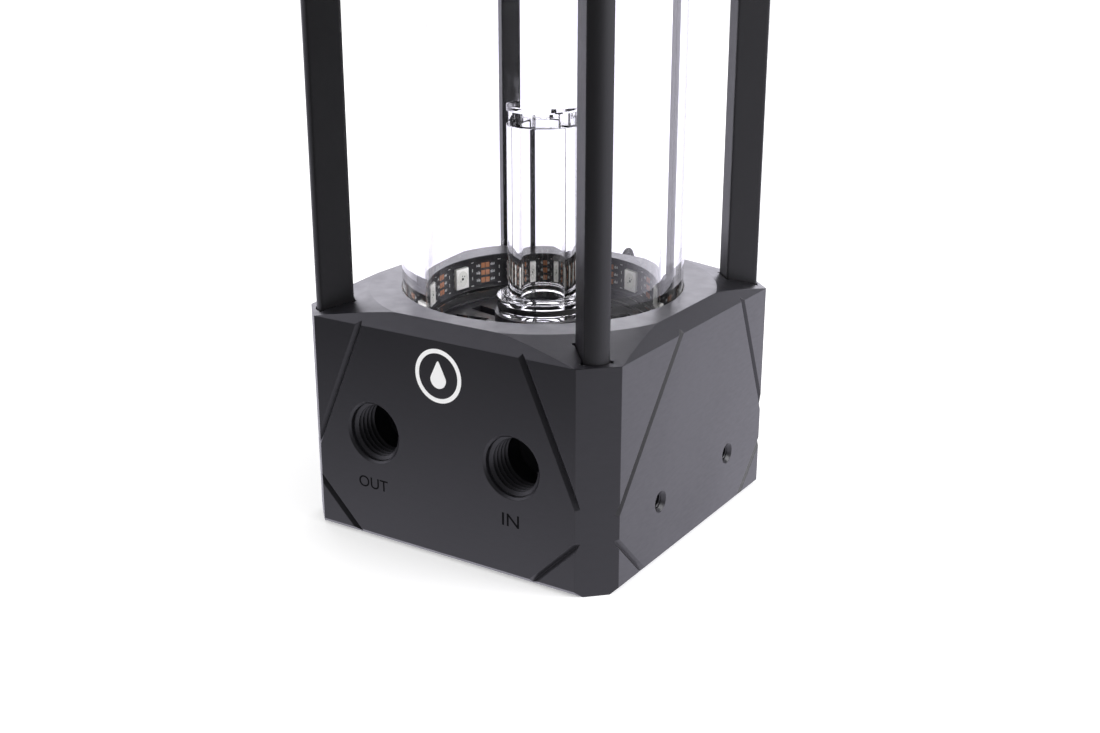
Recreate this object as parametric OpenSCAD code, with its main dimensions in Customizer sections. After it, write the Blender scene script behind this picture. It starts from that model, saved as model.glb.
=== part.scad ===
// Coolant reservoir with a built-in pump: a machined base block that holds a canned
// motor pump, a clear tube clamped between the block and a top cap by four tie rods,
// a clear riser pipe in the tube and a ring of LEDs round the foot of the tube.
// Millimetres, +Z up, origin at the middle of the block's underside.
// -Y is the face with the OUT and IN ports.

/* [Base block and cap] */
// Width of the square block and cap across their flats
block_w = 80; // [78:1:96]
// Height of the block's side faces at their top edge
face_h = 49.4; // [48.6:0.2:60]
// Leg of the upright 45 degree chamfers at the four corners
corner_leg = 6.6; // [3:0.2:7]
// Leg of the 45 degree facets along the top edges
facet_leg = 3.2; // [2.4:0.1:4]
// Outer radius of the flat ring round the tube
ring_r = 39.2; // [38.4:0.1:39.8]
// Slope of the cone from the ring down to the corners, in degrees
cone_slope = 14; // [8:1:20]
// Leg of the chamfer along the flat outer edges
edge_leg = 1.3; // [0.4:0.1:2]
// Height of the cap from its flat ring to its outer face
cap_h = 20; // [18:0.5:30]

/* [Grooves] */
// Width of the decorative grooves
groove_w = 1.6; // [0.6:0.1:2]
// Depth of the decorative grooves
groove_d = 0.8; // [0.4:0.1:1.4]
// Place across the face where a steep groove leaves the top edge
groove_top_x = 20.9; // [14:0.5:26]
// Height where a steep groove meets the corner chamfer
groove_low_z = 21.4; // [16:0.2:28]
// Place where the slanted groove of the right face leaves the top edge
slant_top_x = 8.7; // [4:0.5:16]
// Height where a steep groove of the right face meets the corner chamfer
slant_low_z = 18.7; // [14:0.1:26]
// Distance of the short foot grooves from the corner of the face, along each edge
foot_groove = 17.8; // [12:0.2:20]

/* [Tube] */
// Outer diameter of the clear tube
tube_d = 63.4; // [60:0.1:64]
// Wall of the clear tube
tube_wall = 5; // [3:0.25:6]
// Length of the clear tube
tube_l = 150; // [100:5:250]
// Depth of the tube's seat below the flat ring
seat_depth = 8; // [7:0.5:10]
// Radial clearance of the tube in its seat
tube_gap = 0.2; // [0.1:0.05:0.4]
// Thickness of the flat gaskets under and over the tube
gasket_t = 1.5; // [1:0.25:2]

/* [Tie rods] */
// Width of a tie rod between its flat sides
rod_w = 5.3; // [4.8:0.1:5.6]
// Depth of a tie rod, from its flat inner face to the crown of its outer face
rod_t = 8; // [7:0.1:8.2]
// Radius of the rounded outer face of a tie rod
rod_crown_r = 4.4; // [4.2:0.1:8]
// Distance of each rod's centre from the block's two nearest sides
rod_inset = 6.8; // [6.6:0.1:7.4]
// Height of the rods' lower ends
rod_foot_z = 42; // [36:0.5:46]
// Depth of the rods' upper sockets above the cap's flat ring
rod_head_depth = 10; // [6:0.5:12]
// Radial clearance of a rod in its socket
rod_gap = 0.25; // [0.15:0.05:0.3]
// Shank diameter of the rod screws
screw_d = 3; // [2.5:0.5:3]
// Head diameter of the rod screws
screw_head_d = 5.5; // [5:0.1:6]
// Head height of the rod screws
screw_head_h = 3; // [2.5:0.1:4]
// Length of thread that a screw holds in a rod
screw_grip = 10; // [6:1:14]

/* [Ports] */
// Major diameter of the port threads
port_d = 13.16; // [13.16:0.01:13.16]
// Depth of the front ports, measured from the face
port_depth = 13; // [12:0.2:13.4]
// Distance of the front ports from the middle, along X
port_x = 18; // [17:0.5:19]
// Height of the front ports
port_z = 25.3; // [25:0.1:26]
// Leg of the 45 degree mouth chamfer of a port
port_mouth = 0.5; // [0.2:0.1:0.8]
// Distance of the cap's ports from the middle, along X
cap_port_x = 15; // [13:0.5:17]
// Thread pitch of the port threads
port_pitch = 1.337; // [1.337:0.001:1.337]
// Tapping diameter of the two side mounting holes
side_hole_d = 3.3; // [2.5:0.1:4.2]
// Spacing of the two side mounting holes
side_hole_span = 32; // [24:1:40]
// Height of the two side mounting holes
side_hole_z = 14.1; // [10:0.1:18]
// Depth of the two side mounting holes
side_hole_depth = 9; // [6:0.5:10]

/* [Pump] */
// Radius of the well above the pump, inside the tube
well_r = 26.5; // [26:0.1:26.6]
// Height of the well's floor
well_floor_z = 36; // [35:0.5:37]
// Height of the volute's roof
volute_roof_z = 29.5; // [29:0.5:31]
// Height of the step that the motor can seals against
step_z = 20.5; // [19.5:0.25:20.8]
// Radius of the volute
volute_r = 19.5; // [18.5:0.25:20]
// Radius of the pump inlet
eye_r = 6; // [5:0.5:7]
// Radius of the motor pocket
motor_r = 26.5; // [26.5:0.1:27]
// Radius of the bottom cover
cover_r = 31; // [30:0.25:32]
// Thickness of the bottom cover
cover_t = 3; // [2.5:0.25:3.5]
// Radius of the impeller
impeller_r = 16.5; // [14:0.5:17]
// Number of impeller blades
blades = 6; // [5:1:8]
// Number of stator teeth
teeth = 6; // [6:1:6]
// Diameter of the ceramic shaft
shaft_d = 3; // [3:0.5:4]
// Radial clearance of the bush on the shaft
bush_gap = 0.05; // [0.02:0.01:0.1]
// Air gap between the rotor, the can and the stator
air_gap = 0.5; // [0.3:0.1:0.7]

/* [Riser] */
// Outer diameter of the riser pipe
riser_d = 16; // [14:0.5:17]
// Bore of the riser pipe
riser_bore = 10; // [9:0.5:12]
// Height of the top of the riser
riser_top_z = 93.1; // [70:0.1:140]
// Diameter of the riser's foot flange
riser_flange_d = 21; // [20:0.5:22]
// Height of the riser's boss on the flow guide
boss_z = 46.7; // [46:0.1:47.5]

/* [Light] */
// Width of the LED strip
strip_w = 7.8; // [7:0.1:8]
// Thickness of the LED strip
strip_t = 0.4; // [0.3:0.1:0.6]
// Thickness of the lip of the ring above the strip
strip_lip = 0.8; // [0.6:0.1:1]
// Number of LEDs on the strip
leds = 11; // [8:1:11]
// Distance between LEDs along the strip
led_pitch = 18.75; // [14:0.05:19]
// Side of one LED
led_side = 5; // [3:0.5:5]
// Thickness of one LED
led_t = 1.6; // [1:0.1:1.6]

/* [Plugs] */
// Head diameter of the two stop plugs
plug_head_d = 17.6; // [17:0.1:20]
// Head height of the two stop plugs
plug_head_h = 4.2; // [3.6:0.1:6]
// Radial clearance of a plug's shank in its port
plug_gap = 0.08; // [0.04:0.01:0.1]

/* [Hidden] */
$fn = 64;

// Small distance by which a cutter passes a surface
over = 1;
// Play between flat pieces that only need to be close
play = 0.1;

// Heights from the block up to the cap
ring_z = face_h + facet_leg;
tube_z = ring_z - seat_depth;
ledge_z = tube_z - gasket_t;
tube_top_z = tube_z + tube_l;
cap_z = tube_top_z - seat_depth;
cap_top_z = cap_z + cap_h;
cap_face_h = cap_h - facet_leg;
cap_ledge_z = tube_top_z + gasket_t;
cap_roof_z = cap_ledge_z + 3;

// Tube and its seat
tube_r = tube_d / 2;
tube_bore_r = tube_r - tube_wall;
seat_r = tube_r + tube_gap;

// Rods and their screws
rod_at = block_w / 2 - rod_inset;
rod_top_z = cap_z + rod_head_depth;
rod_corner_x = rod_t / 2 - rod_crown_r + sqrt(pow(rod_crown_r, 2) - pow(rod_w / 2, 2));
socket_relief_r = 0.5;
screw_hex_r = 1.45;
screw_hole_r = screw_d / 2 + 0.25;
screw_sink_r = screw_head_d / 2 + 0.4;
screw_sink = screw_head_h + 0.4;
thread_depth = screw_grip + 2;
rod_corners = [[-1, -1], [1, -1], [1, 1], [-1, 1]];

// Light channel round the tube, under the ring's lip
strip_top_z = ring_z - strip_lip;
strip_z = strip_top_z - strip_w;
led_face_r = tube_r + 0.3;
led_back_r = led_face_r + led_t;
strip_in_r = led_back_r + play;
strip_out_r = strip_in_r + strip_t;
channel_r = strip_out_r + play;
led_step = led_pitch / strip_out_r * 180 / PI;
led_first = -84.4;
strip_sweep = led_step * leds;

// Pump, from the bottom cover up to the volute
cover_z = 0.4;
cover_top_z = cover_z + cover_t;
can_flange_t = 2;
can_flange_z = step_z - can_flange_t;
can_floor_z = cover_top_z + 1.8;
can_wall = 0.8;
magnet_r = 10.6;
magnet_h = 11;
can_bore_r = magnet_r + air_gap;
can_r = can_bore_r + can_wall;
stator_bore_r = can_r + 0.4;
sleeve_r = motor_r - 0.2;
sleeve_wall = 1.2;
stator_r = sleeve_r - sleeve_wall - play;
stator_z = 8.2;
stator_h = 8;
coil_z = 6.6;
coil_h = 11.2;
board_z = cover_top_z + 0.9;
board_t = 1.6;
can_ring_r = volute_r + 4.4;
can_ring_section = 0.8;
can_groove_d = 1.3;
shaft_r = shaft_d / 2;
shaft_z = can_floor_z + 1;
bush_r = shaft_r + 1.5;
rotor_z = shaft_z + 0.9;
disc_z = step_z + 1;
disc_t = 1.2;
blade_h = 5.2;
blade_t = 1.2;
impeller_top_z = disc_z + disc_t + blade_h;
shaft_top_z = impeller_top_z + 0.6;
outlet_r = 3.5;
outlet_z = 25.9;
outlet_x = -15.3;
inlet_r = 4;
// The slanted inlet drilling, from the bottom of the IN port to the well
inlet_from = [port_x, -block_w / 2 + port_depth - 3, port_z];
inlet_to = [12.4, -18.4, 40];
cover_screw_at = 28.8;
cover_screw_count = 6;
cover_screw_r = 1.25;

// Flow guide on the well's floor and the riser's foot
guide_r = well_r - 0.2;
guide_plate_z = well_floor_z + 4.5;
guide_plate_t = 2;
duct_floor_z = guide_plate_z + 1;
duct_top_z = boss_z - 1;
duct_w = 7;
boss_r = 11;
socket_r = port_d / 2;
flange_r = riser_flange_d / 2;
foot_z = boss_z + 0.05;
groove_z = foot_z + 1.2;
flange_z = groove_z + 1.3;
pipe_z = flange_z + 1.9;
spigot_bore_r = min(riser_bore / 2, socket_r - 1.2);
riser_cap_t = 1.2;
window_h = 3;

// Rear openings: LED lead and pump cable
lead_d = 2.8;
lead_exit = [4, block_w / 2 - facet_leg / 2, face_h + facet_leg / 2];
lead_rise = 27;
lead_hole_r = lead_d / 2 + 0.25;
lead_hole_l = (lead_exit[1] - channel_r) / cos(lead_rise) + lead_hole_r;
cable_hole_r = 3.2;
cable_hole_l = block_w / 2 - motor_r / 3;
cable_hole_at = [-20, block_w / 2, 8];

// Port bores and the space for the O-ring under a plug's head
port_r = port_d / 2;
plug_ring_space = 1.9;
plug_shank_l = 6.4;
plug_hex_r = 3.5;
plug_hex_depth = 1.6;

// LED lead: bends of the part that isn't coiled, then the coil, the tail and the plug.
// Along Y they are measured from the block's back face.
lead_bends = [
    [4, -4.9, 49.32], [4, -3.2, 50.18], [4, -1.6, 51.0], [4, -0.1, 51.55], [4, 1.35, 51.71],
    [4, 4.1, 51.1], [4, 6.33, 49.39], [4, 7.63, 46.89], [4, 8.1, 43.6], [3.8, 8.2, 38],
    [3.5, 8.2, 31], [3.2, 8.2, 24], [2.9, 8.2, 18], [2.6, 8.4, 12.6], [2.4, 9.4, 8.0],
    [2.2, 11.6, 4.4], [2.1, 14.8, 2.3], [2, 18.4, 1.5], [2, 22, 1.5]
];
coil_mean_r = 16;
coil_turn_r = 1.4;
coil_bottom_z = 1.5;
coil_c = [-15.4, block_w / 2 + 23];
tail_bends = [
    [-14.4, 37.57, 1.5], [-15.4, 37.6, 1.5], [-17.9, 37.1, 1.5], [-20, 35.7, 1.5],
    [-21.4, 33.6, 1.5], [-21.9, 31.1, 1.5], [-21.9, 29.5, 1.5]
];
plug_size = [7.8, 10.6, 4.4];
plug_at = [-21.9, block_w / 2 + 29.4];

// ---------------------------------------------------------------- helpers

// Square outline with chamfered corners
module outline() {
    intersection() {
        square(block_w, center = true);
        rotate(45) square(sqrt(2) * (block_w - corner_leg), center = true);
    }
}

// Section of the block across two opposite faces
module face_section(h) {
    half = block_w / 2;
    polygon([
        [-half + edge_leg, 0], [half - edge_leg, 0], [half, edge_leg], [half, h],
        [half - facet_leg, h + facet_leg], [-half + facet_leg, h + facet_leg],
        [-half, h], [-half, edge_leg]
    ]);
}

// Block with 45 degree facets and a shallow cone round a flat ring, ring side up
module faceted_block(h) {
    top = h + facet_leg;
    reach = block_w;
    intersection() {
        linear_extrude(top) outline();
        rotate([90, 0, 0]) linear_extrude(block_w, center = true) face_section(h);
        rotate([90, 0, 90]) linear_extrude(block_w, center = true) face_section(h);
        rotate_extrude() polygon([
            [0, 0], [reach, 0], [reach, top - (reach - ring_r) * tan(cone_slope)],
            [ring_r, top], [0, top]
        ]);
    }
}

// Cutter for one straight V groove on the -Y face, through two points of the face
module groove(a, b) {
    run = 9;
    length = norm(b - a) + 2 * run;
    angle = atan2(b[1] - a[1], b[0] - a[0]);
    translate([(a[0] + b[0]) / 2, -block_w / 2, (a[1] + b[1]) / 2])
        rotate([0, -angle, 0]) rotate([90, 0, 90])
            linear_extrude(length, center = true)
                polygon([[groove_d, 0], [-groove_d, groove_w], [-groove_d, -groove_w]]);
}

// Grooves of one face: left groove leaves the top edge at left_x, right one at right_x
module face_grooves(left_x, left_z, right_x) {
    edge_x = block_w / 2 - corner_leg;
    groove([-left_x, face_h], [-edge_x, left_z]);
    groove([right_x, face_h], [edge_x, groove_low_z]);
    for (side = [-1, 1])
        groove([side * (block_w / 2 - foot_groove), 0], [side * block_w / 2, foot_groove]);
}

// A ring of square section
module ring(r_in, r_out, z, h) {
    translate([0, 0, z]) rotate_extrude()
        translate([r_in, 0]) square([r_out - r_in, h]);
}

// Port hole with a chamfered mouth, opening along +Z at z = 0
module port_hole(depth) {
    translate([0, 0, -depth]) cylinder(h = depth + over, r = port_r);
    translate([0, 0, -port_mouth])
        cylinder(h = port_mouth + over, r1 = port_r, r2 = port_r + port_mouth + over);
}

// Children at each of the four rod positions, with X pointing outwards
module at_rods() {
    for (c = rod_corners)
        translate([c[0] * rod_at, c[1] * rod_at, 0]) rotate(atan2(c[1], c[0])) children();
}

// Bar with flat sides and a rounded outer face, grown by gap all round
module rod_bar(h, gap = 0) {
    linear_extrude(h) {
        translate([-rod_t / 2 - gap, -rod_w / 2 - gap]) square([rod_t / 2 + gap, rod_w + 2 * gap]);
        intersection() {
            translate([-over, -rod_w / 2 - gap]) square([rod_t, rod_w + 2 * gap]);
            translate([rod_t / 2 - rod_crown_r, 0]) circle(rod_crown_r + gap);
        }
    }
}

// Socket for a rod, with a small drilled relief in each corner
module rod_socket(h) {
    rod_bar(h, rod_gap);
    for (side = [-1, 1], x = [-rod_t / 2, rod_corner_x])
        translate([x, side * (rod_w / 2 + rod_gap), 0]) cylinder(h = h, r = socket_relief_r);
}

// Tube swept along a list of points
module sweep(route, d, sides) {
    n = len(route);
    dir = [for (i = [0 : n - 1])
        let (v = route[min(i + 1, n - 1)] - route[max(i - 1, 0)]) v / norm(v)];
    points = [for (i = [0 : n - 1])
        let (u = cross(dir[i], [1, 0, 0]), a = norm(u) > 0.2 ? u / norm(u) : [0, 0, 1],
             b = cross(dir[i], a))
        for (k = [0 : sides - 1])
            route[i] + d / 2 * (a * cos(360 * k / sides) + b * sin(360 * k / sides))];
    faces = concat(
        [[for (k = [0 : sides - 1]) k]],
        [for (i = [0 : n - 2], k = [0 : sides - 1])
            let (j = (k + 1) % sides)
            [i * sides + j, i * sides + k, (i + 1) * sides + k, (i + 1) * sides + j]],
        [[for (k = [sides - 1 : -1 : 0]) (n - 1) * sides + k]]);
    polyhedron(points, faces, convexity = 6);
}

// Points spread along a route by a Catmull-Rom curve, steps per stretch
function spline(p, steps) = concat(
    [for (i = [0 : len(p) - 2], s = [0 : steps - 1])
        let (t = s / steps, a = p[max(i - 1, 0)], b = p[i], c = p[i + 1],
             d = p[min(i + 2, len(p) - 1)])
        0.5 * (2 * b + (c - a) * t + (2 * a - 5 * b + 4 * c - d) * t * t
            + (3 * b - a - 3 * c + d) * t * t * t)],
    [p[len(p) - 1]]);

// ---------------------------------------------------------------- base block

// Spaces for the tube, the light and the well, cut from above
module tube_side_spaces() {
    translate([0, 0, ledge_z]) cylinder(h = seat_depth + gasket_t + over, r = seat_r);
    ring(seat_r - over, channel_r, strip_z - play, strip_w + 2 * play);
    translate([0, 0, well_floor_z]) cylinder(h = ledge_z - well_floor_z + over, r = well_r);
}

// Spaces for the pump, cut from below
module pump_spaces() {
    translate([0, 0, -over]) cylinder(h = cover_top_z + over, r = cover_r + play);
    translate([0, 0, cover_top_z - over]) cylinder(h = step_z - cover_top_z + over, r = motor_r);
    translate([0, 0, step_z - over]) linear_extrude(volute_roof_z - step_z + over) {
        circle(volute_r);
        translate([-1, 0]) circle(volute_r);
    }
    translate([0, 0, volute_roof_z - over])
        cylinder(h = well_floor_z - volute_roof_z + 2 * over, r = eye_r);
    ring(can_ring_r - can_ring_section - 0.2, can_ring_r + can_ring_section + 0.2,
         step_z - over, can_groove_d + over);
    for (i = [0 : cover_screw_count - 1]) rotate(30 + i * 360 / cover_screw_count)
        translate([cover_screw_at, 0, cover_top_z - over])
            cylinder(h = 8 + over, r = cover_screw_r + 0.1);
}

// Water ways between the ports, the volute and the well
module water_ways() {
    for (side = [-1, 1]) translate([side * port_x, -block_w / 2, port_z])
        rotate([90, 0, 0]) port_hole(port_depth);
    translate([outlet_x, 0, outlet_z]) rotate([90, 0, 0])
        cylinder(h = block_w / 2 - port_depth + 0.5, r = outlet_r);
    way = inlet_to - inlet_from;
    translate(inlet_from)
        rotate([0, acos(way[2] / norm(way)), atan2(way[1], way[0])])
            rotate(75) cylinder(h = norm(way), r = inlet_r);
}

module base_block() {
    color("#1b1b1d") difference() {
        faceted_block(face_h);
        tube_side_spaces();
        pump_spaces();
        water_ways();
        at_rods() {
            translate([0, 0, rod_foot_z - play / 2]) rod_socket(face_h);
            translate([0, 0, -over]) cylinder(h = face_h, r = screw_hole_r);
            translate([0, 0, -over]) cylinder(h = screw_sink + 1 + over, r = screw_sink_r);
        }
        for (turn = [0, 180]) rotate(turn) face_grooves(groove_top_x, groove_low_z, groove_top_x);
        rotate(90) face_grooves(slant_top_x, slant_low_z, groove_top_x);
        rotate(-90) mirror([1, 0, 0]) face_grooves(slant_top_x, slant_low_z, groove_top_x);
        for (side = [-1, 1])
            translate([block_w / 2, side * side_hole_span / 2, side_hole_z]) rotate([0, -90, 0]) {
                translate([0, 0, -over]) cylinder(h = side_hole_depth + over, r = side_hole_d / 2);
                translate([0, 0, -over])
                    cylinder(h = 0.8 + over, r1 = side_hole_d / 2 + 0.8 + over, r2 = side_hole_d / 2);
            }
        translate(lead_exit) rotate([90 + lead_rise, 0, 0]) translate([0, 0, -3 * over])
            cylinder(h = lead_hole_l + 3 * over, r = lead_hole_r);
        translate(cable_hole_at) rotate([90, 0, 0])
            translate([0, 0, -over]) cylinder(h = cable_hole_l + over, r = cable_hole_r);
    }
}

// ---------------------------------------------------------------- motor and pump

module bottom_cover() {
    color("#202022") difference() {
        translate([0, 0, cover_z]) cylinder(h = cover_t, r = cover_r);
        for (i = [0 : cover_screw_count - 1]) rotate(30 + i * 360 / cover_screw_count)
            translate([cover_screw_at, 0, cover_z]) {
                translate([0, 0, -over]) cylinder(h = cover_t + 2 * over, r = cover_screw_r + 0.25);
                translate([0, 0, -over]) cylinder(h = 1.6 + over, r = 2.1);
            }
        for (i = [0 : 2]) ring(8 + 5 * i, 9 + 5 * i, cover_z - over, 0.6 + over);
    }
}

module cover_screws() {
    color("#3a3a3d") for (i = [0 : cover_screw_count - 1])
        rotate(30 + i * 360 / cover_screw_count) translate([cover_screw_at, 0, 0])
            difference() {
                union() {
                    translate([0, 0, cover_z + 0.1]) cylinder(h = 1.5, r = 1.95);
                    translate([0, 0, cover_z + 0.5]) cylinder(h = 9, r = cover_screw_r);
                }
                translate([0, 0, cover_z - over]) cylinder(h = 1.1 + over, r = 0.9, $fn = 6);
            }
}

// Rubber grommet in the pump cable's hole
module cable_grommet() {
    color("#0f0f10") translate(cable_hole_at) rotate([90, 0, 0]) difference() {
        union() {
            translate([0, 0, -1.2]) cylinder(h = 1.15, r = cable_hole_r + 1.6);
            translate([0, 0, -1]) cylinder(h = 9, r = cable_hole_r - 0.05);
        }
        translate([0, 0, -2]) cylinder(h = 12, r = 2.2);
    }
}

// Sleeve that clamps the can's flange and carries the stator
module stator_sleeve() {
    color("#48484c") difference() {
        ring(sleeve_r - sleeve_wall, sleeve_r, cover_top_z + 0.02,
             can_flange_z - cover_top_z - 0.04);
        translate([cable_hole_at[0], 0, cover_top_z - over])
            translate([-cable_hole_r - 0.5, 6, 0])
                cube([2 * cable_hole_r + 1, sleeve_r, cable_hole_at[2] + cable_hole_r - cover_top_z + 1.5]);
    }
}

module stator_core() {
    color("#6d7076") translate([0, 0, stator_z]) linear_extrude(stator_h) {
        difference() {
            circle(stator_r);
            circle(stator_r - 3.4);
        }
        for (i = [0 : teeth - 1]) rotate(i * 360 / teeth)
            translate([stator_bore_r + 0.6, -2.6]) square([stator_r - stator_bore_r - 3, 5.2]);
        intersection() {
            difference() {
                circle(stator_bore_r + 1.6);
                circle(stator_bore_r);
            }
            for (i = [0 : teeth - 1]) rotate(i * 360 / teeth)
                translate([0, -5.4]) square([stator_r, 10.8]);
        }
    }
}

module stator_coils() {
    color("#b4622c") for (i = [0 : teeth - 1]) rotate(i * 360 / teeth)
        translate([stator_bore_r + 1.8, 0, coil_z]) difference() {
            translate([0, -4.6, 0]) cube([stator_r - 4.2 - stator_bore_r - 1.8, 9.2, coil_h]);
            translate([-over, -2.7, stator_z - coil_z - 0.1])
                cube([stator_r, 5.4, stator_h + 0.2]);
        }
}

// Round board under the stator, with its parts
module control_board() {
    color("#1f5a3a") difference() {
        translate([0, 0, board_z]) cylinder(h = board_t, r = sleeve_r - sleeve_wall - 0.4);
        translate([0, 0, board_z - over]) cylinder(h = board_t + 2 * over, r = can_r + 0.5);
    }
    color("#141416") for (a = [20, 80, 140, 200, 260]) rotate(a)
        translate([18.5, -2, cover_top_z + 0.1]) cube([5, 4, board_z - cover_top_z - 0.1]);
}

// Thin can that keeps the water away from the stator
module motor_can() {
    color("#c9c9c4") {
        ring(can_bore_r, motor_r - 0.1, can_flange_z, can_flange_t);
        ring(can_bore_r, can_r, can_floor_z, can_flange_z - can_floor_z);
        translate([0, 0, can_floor_z]) difference() {
            union() {
                cylinder(h = 1, r = can_bore_r + 0.01);
                cylinder(h = 1.6, r = shaft_r + 1.6);
            }
            translate([0, 0, 0.5]) cylinder(h = 2, r = shaft_r);
        }
    }
}

module motor_can_o_ring() {
    color("#0c0c0d") translate([0, 0, step_z + can_groove_d / 2])
        rotate_extrude() translate([can_ring_r, 0]) circle(can_groove_d / 2 - 0.02);
}

module rotor_shaft() {
    color("#e6e2da") translate([0, 0, can_floor_z + 0.5])
        cylinder(h = shaft_top_z - can_floor_z - 0.5, r = shaft_r);
}

module shaft_cap() {
    color("#d8d8d8") difference() {
        translate([0, 0, impeller_top_z + 0.2]) cylinder(h = 1, r = shaft_r + 1.3);
        translate([0, 0, impeller_top_z - over]) cylinder(h = shaft_top_z - impeller_top_z + over, r = shaft_r);
    }
}

module rotor_magnet() {
    color("#3c3d42") ring(bush_r + 0.02, magnet_r, rotor_z + 1, magnet_h);
}

module rotor_bush() {
    color("#57503f") ring(shaft_r + bush_gap, bush_r, rotor_z + 1, impeller_top_z - rotor_z - 1);
}

// Backward curved blade, cut from a ring
module blade() {
    arc_r = 12;
    intersection() {
        difference() {
            circle(impeller_r - 0.4);
            circle(bush_r + 1);
        }
        translate([bush_r + 1, -arc_r]) difference() {
            circle(arc_r + blade_t);
            circle(arc_r);
            translate([-2 * arc_r, -2 * arc_r]) square([2 * arc_r - 2, 4 * arc_r]);
            translate([-2 * arc_r, -4 * arc_r]) square(4 * arc_r);
        }
    }
}

module impeller() {
    color("#e9e9e6") {
        ring(bush_r + 0.02, impeller_r, disc_z, disc_t);
        ring(bush_r + 0.02, bush_r + 1.6, disc_z - 2.3, impeller_top_z - disc_z + 2.3);
        translate([0, 0, disc_z + disc_t - 0.05]) linear_extrude(blade_h)
            for (i = [0 : blades - 1]) rotate(i * 360 / blades) blade();
    }
}

// ---------------------------------------------------------------- well and riser

// Slotted plate on the well's floor, with the duct from the inlet to the riser's boss
module flow_guide() {
    slot_from = 14.5;
    slot_to = 23.5;
    slot_w = 3.4;
    duct_end = [inlet_to[0], inlet_to[1]];
    duct_angle = atan2(duct_end[1], duct_end[0]);
    duct_l = norm(duct_end);
    color("#161617") difference() {
        union() {
            ring(well_r - 2.6, guide_r, well_floor_z, guide_plate_z - well_floor_z + guide_plate_t);
            translate([0, 0, guide_plate_z]) cylinder(h = guide_plate_t, r = guide_r);
            translate([0, 0, guide_plate_z]) cylinder(h = boss_z - guide_plate_z, r = boss_r);
            intersection() {
                translate([0, 0, well_floor_z]) cylinder(h = duct_top_z - well_floor_z + 1, r = guide_r);
                rotate(duct_angle) union() {
                    translate([0, -duct_w / 2 - 1.6, guide_plate_z])
                        cube([guide_r, duct_w + 3.2, duct_top_z - guide_plate_z]);
                    translate([duct_l - 7, -duct_w / 2 - 1.6, well_floor_z])
                        cube([guide_r, duct_w + 3.2, duct_top_z - well_floor_z]);
                }
            }
        }
        for (i = [0 : 15]) rotate(i * 22.5 + duct_angle)
            if (abs((i * 22.5 + 180) % 360 - 180) > 40)
                translate([slot_from, -slot_w / 2, guide_plate_z - over])
                    cube([slot_to - slot_from, slot_w, guide_plate_t + 2 * over]);
        translate([0, 0, duct_floor_z]) cylinder(h = boss_z, r = socket_r);
        rotate(duct_angle) translate([0, -duct_w / 2, duct_floor_z])
            cube([duct_l + 2, duct_w, duct_top_z - duct_floor_z - 1]);
        rotate(duct_angle) translate([duct_l - 4.4, -duct_w / 2, well_floor_z - over])
            cube([6.4, duct_w, duct_top_z - well_floor_z]);
        for (a = [60, 180, 300]) rotate(a + duct_angle) translate([0, -6, well_floor_z - over])
            cube([well_r + over, 12, 3.6 + over]);
    }
}

// Clear pipe with a foot flange, an O-ring groove and windows near its top
module riser_pipe() {
    color("#dfe8ee", 0.45) difference() {
        union() {
            translate([0, 0, boss_z - 4.6]) cylinder(h = 6, r = socket_r - 0.1);
            translate([0, 0, foot_z]) cylinder(h = groove_z - foot_z, r = flange_r - 0.2);
            translate([0, 0, foot_z]) cylinder(h = flange_z - foot_z + 0.5, r = flange_r - 1.9);
            translate([0, 0, flange_z]) cylinder(h = pipe_z - flange_z - 0.7, r = flange_r);
            translate([0, 0, flange_z]) cylinder(h = pipe_z - flange_z, r = flange_r - 1.2);
            translate([0, 0, flange_z]) cylinder(h = riser_top_z - riser_cap_t - flange_z, r = riser_d / 2);
        }
        translate([0, 0, boss_z - 6]) cylinder(h = riser_top_z, r = spigot_bore_r);
        translate([0, 0, pipe_z]) cylinder(h = riser_top_z, r = riser_bore / 2);
        for (i = [0 : 3]) rotate(45 + 90 * i)
            translate([0, -4, riser_top_z - riser_cap_t - window_h])
                cube([riser_d, 8, window_h + over]);
    }
}

module riser_cap() {
    color("#dfe8ee", 0.45) difference() {
        union() {
            translate([0, 0, riser_top_z - riser_cap_t + 0.02]) cylinder(h = riser_cap_t, r = riser_d / 2);
            translate([0, 0, riser_top_z - riser_cap_t - 1.2]) cylinder(h = 1.5, r = riser_bore / 2 - 0.1);
        }
        translate([0, 0, riser_top_z - 0.5]) cylinder(h = over, r = 0.8);
    }
}

module riser_o_ring() {
    color("#0c0c0d") ring(flange_r - 1.85, flange_r - 0.1, groove_z + 0.05, flange_z - groove_z - 0.1);
}

// ---------------------------------------------------------------- tube and cap

module gasket(z) {
    ring(tube_bore_r + 0.3, tube_r - 0.1, z, gasket_t);
}

module lower_gasket() {
    color("#0c0c0d") gasket(ledge_z);
}

module upper_gasket() {
    color("#0c0c0d") gasket(tube_top_z);
}

module reservoir_tube() {
    color("#dfe8ee", 0.35) ring(tube_bore_r, tube_r, tube_z, tube_l);
}

module top_cap() {
    color("#1b1b1d") difference() {
        translate([0, 0, cap_top_z]) mirror([0, 0, 1]) faceted_block(cap_face_h);
        translate([0, 0, cap_z - over]) cylinder(h = cap_ledge_z - cap_z + over, r = seat_r);
        translate([0, 0, cap_z]) cylinder(h = cap_roof_z - cap_z, r = well_r);
        for (side = [-1, 1]) translate([side * cap_port_x, 0, cap_top_z])
            port_hole(cap_top_z - cap_roof_z + over);
        at_rods() {
            translate([0, 0, cap_z - over]) rod_socket(rod_top_z - cap_z + over);
            translate([0, 0, cap_z]) cylinder(h = cap_h + over, r = screw_hole_r);
            translate([0, 0, cap_top_z - screw_sink]) cylinder(h = screw_sink + over, r = screw_sink_r);
        }
    }
}

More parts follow.
